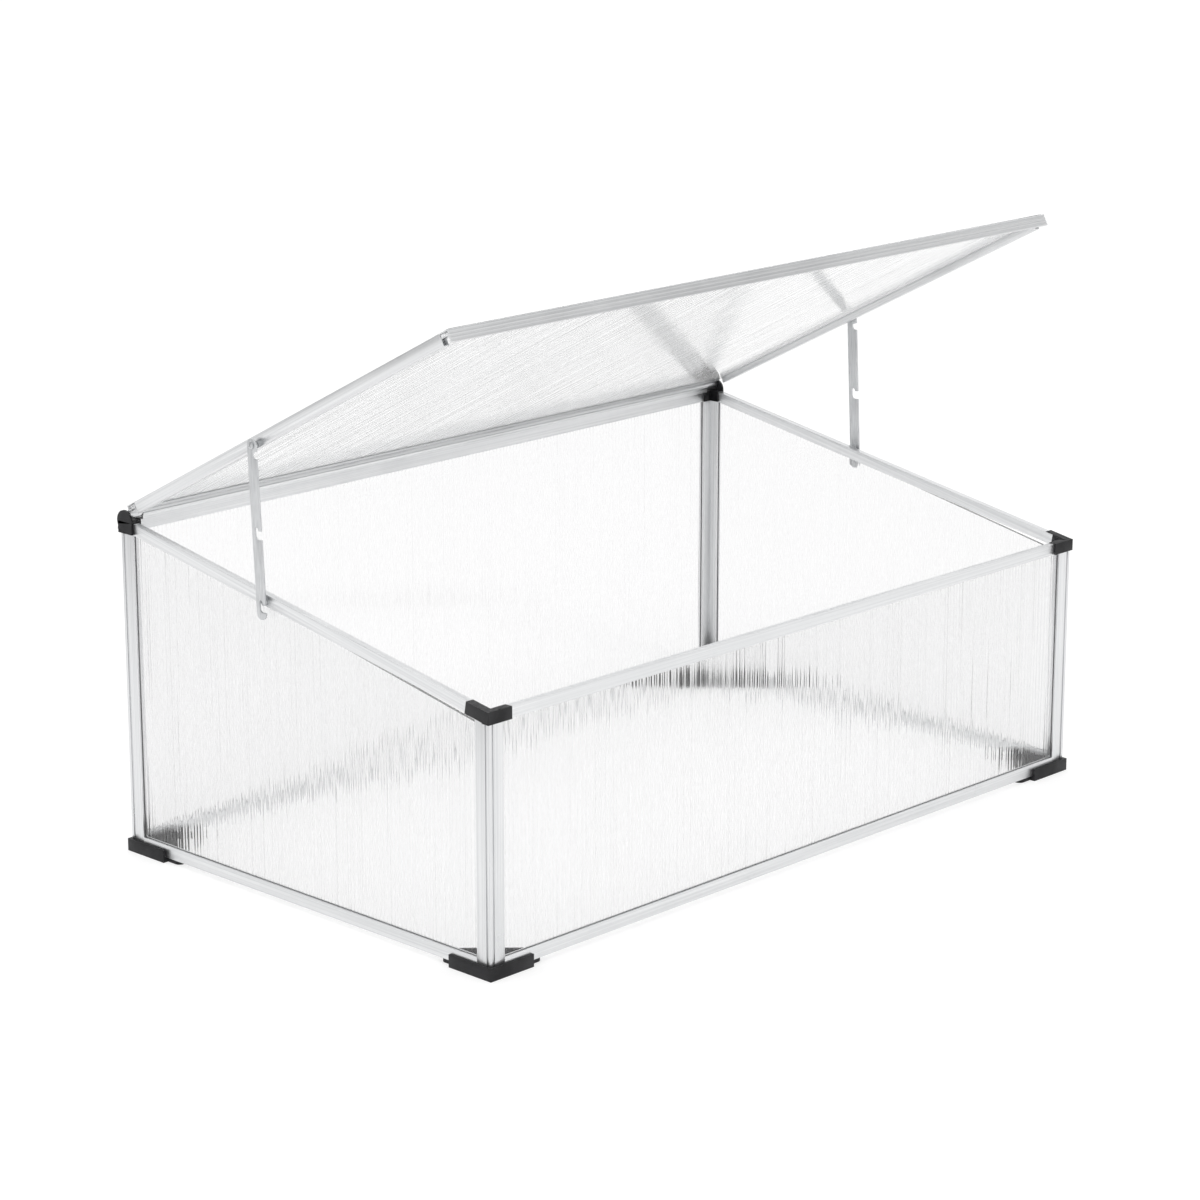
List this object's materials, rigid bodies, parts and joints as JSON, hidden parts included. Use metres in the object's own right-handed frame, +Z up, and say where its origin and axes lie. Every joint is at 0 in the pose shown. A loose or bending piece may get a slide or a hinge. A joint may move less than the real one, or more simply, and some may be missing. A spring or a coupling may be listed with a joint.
{
  "type": "cold frame",
  "caption": "Rectangular cold frame of aluminium rails and posts glazed with twin-wall sheet, with a sloping hinged lid propped by notched stays.",
  "frame": {"origin": "centre of the footprint, on the ground under the foot corners", "axes": "+X along the long sides, +Y towards the hinged rear edge, +Z up; the lid is in its propped position at rest"},
  "size_m": [1.0176, 0.608, 0.6952],
  "materials": {
    "mill_aluminium": "satin, as extruded, with fine die lines along the length",
    "stay_strip": "matt, punched strip with rubbed edges",
    "twin_wall_sheet": "clear, glossy, with upright ribs inside",
    "black_plastic": "fine moulded grain",
    "zinc_steel": "bright zinc plate"
  },
  "bodies": {
    "frame": {"corner_post_front_left": "mill_aluminium", "corner_post_front_right": "mill_aluminium", "corner_post_rear_left": "mill_aluminium", "corner_post_rear_right": "mill_aluminium", "bottom_rail_front": "mill_aluminium", "bottom_rail_rear": "mill_aluminium", "bottom_rail_left": "mill_aluminium", "bottom_rail_right": "mill_aluminium", "top_rail_front": "mill_aluminium", "top_rail_left": "mill_aluminium", "top_rail_right": "mill_aluminium", "top_rail_hinge": "mill_aluminium", "wall_panel_front": "twin_wall_sheet", "wall_panel_rear": "twin_wall_sheet", "wall_panel_left": "twin_wall_sheet", "wall_panel_right": "twin_wall_sheet", "foot_corner_front_left": "black_plastic", "foot_corner_front_right": "black_plastic", "foot_corner_rear_left": "black_plastic", "foot_corner_rear_right": "black_plastic", "cap_corner_front_left": "black_plastic", "cap_corner_front_right": "black_plastic", "cap_corner_rear_left": "black_plastic", "cap_corner_rear_right": "black_plastic", "hook_screw_left": "zinc_steel", "hook_screw_right": "zinc_steel", "hook_nut_left": "zinc_steel", "hook_nut_right": "zinc_steel"},
    "lid": {"lid_front_rail": "mill_aluminium", "lid_hinge_rail": "mill_aluminium", "lid_side_rail_left": "mill_aluminium", "lid_side_rail_right": "mill_aluminium", "lid_panel": "twin_wall_sheet", "pivot_screw_left": "zinc_steel", "pivot_screw_right": "zinc_steel", "pivot_nut_left": "zinc_steel", "pivot_nut_right": "zinc_steel"},
    "stay_left": {"stay_left": "stay_strip"},
    "stay_right": {"stay_right": "stay_strip"}
  },
  "joints": [
    {"name": "lid_hinge", "type": "hinge", "parent": "frame", "child": "lid", "pos_m": [0, 0.291, 0.4065], "axis": [-1, 0, 0], "range_deg": [-37.35, 62.65]},
    {"name": "stay_left_swing", "type": "hinge", "parent": "lid", "child": "stay_left", "pos_m": [-0.5055, 0.06006, 0.52594], "axis": [1, 0, 0], "range_deg": [-110, 110]},
    {"name": "stay_right_swing", "type": "hinge", "parent": "lid", "child": "stay_right", "pos_m": [0.5055, 0.06006, 0.52594], "axis": [1, 0, 0], "range_deg": [-110, 110]}
  ]
}
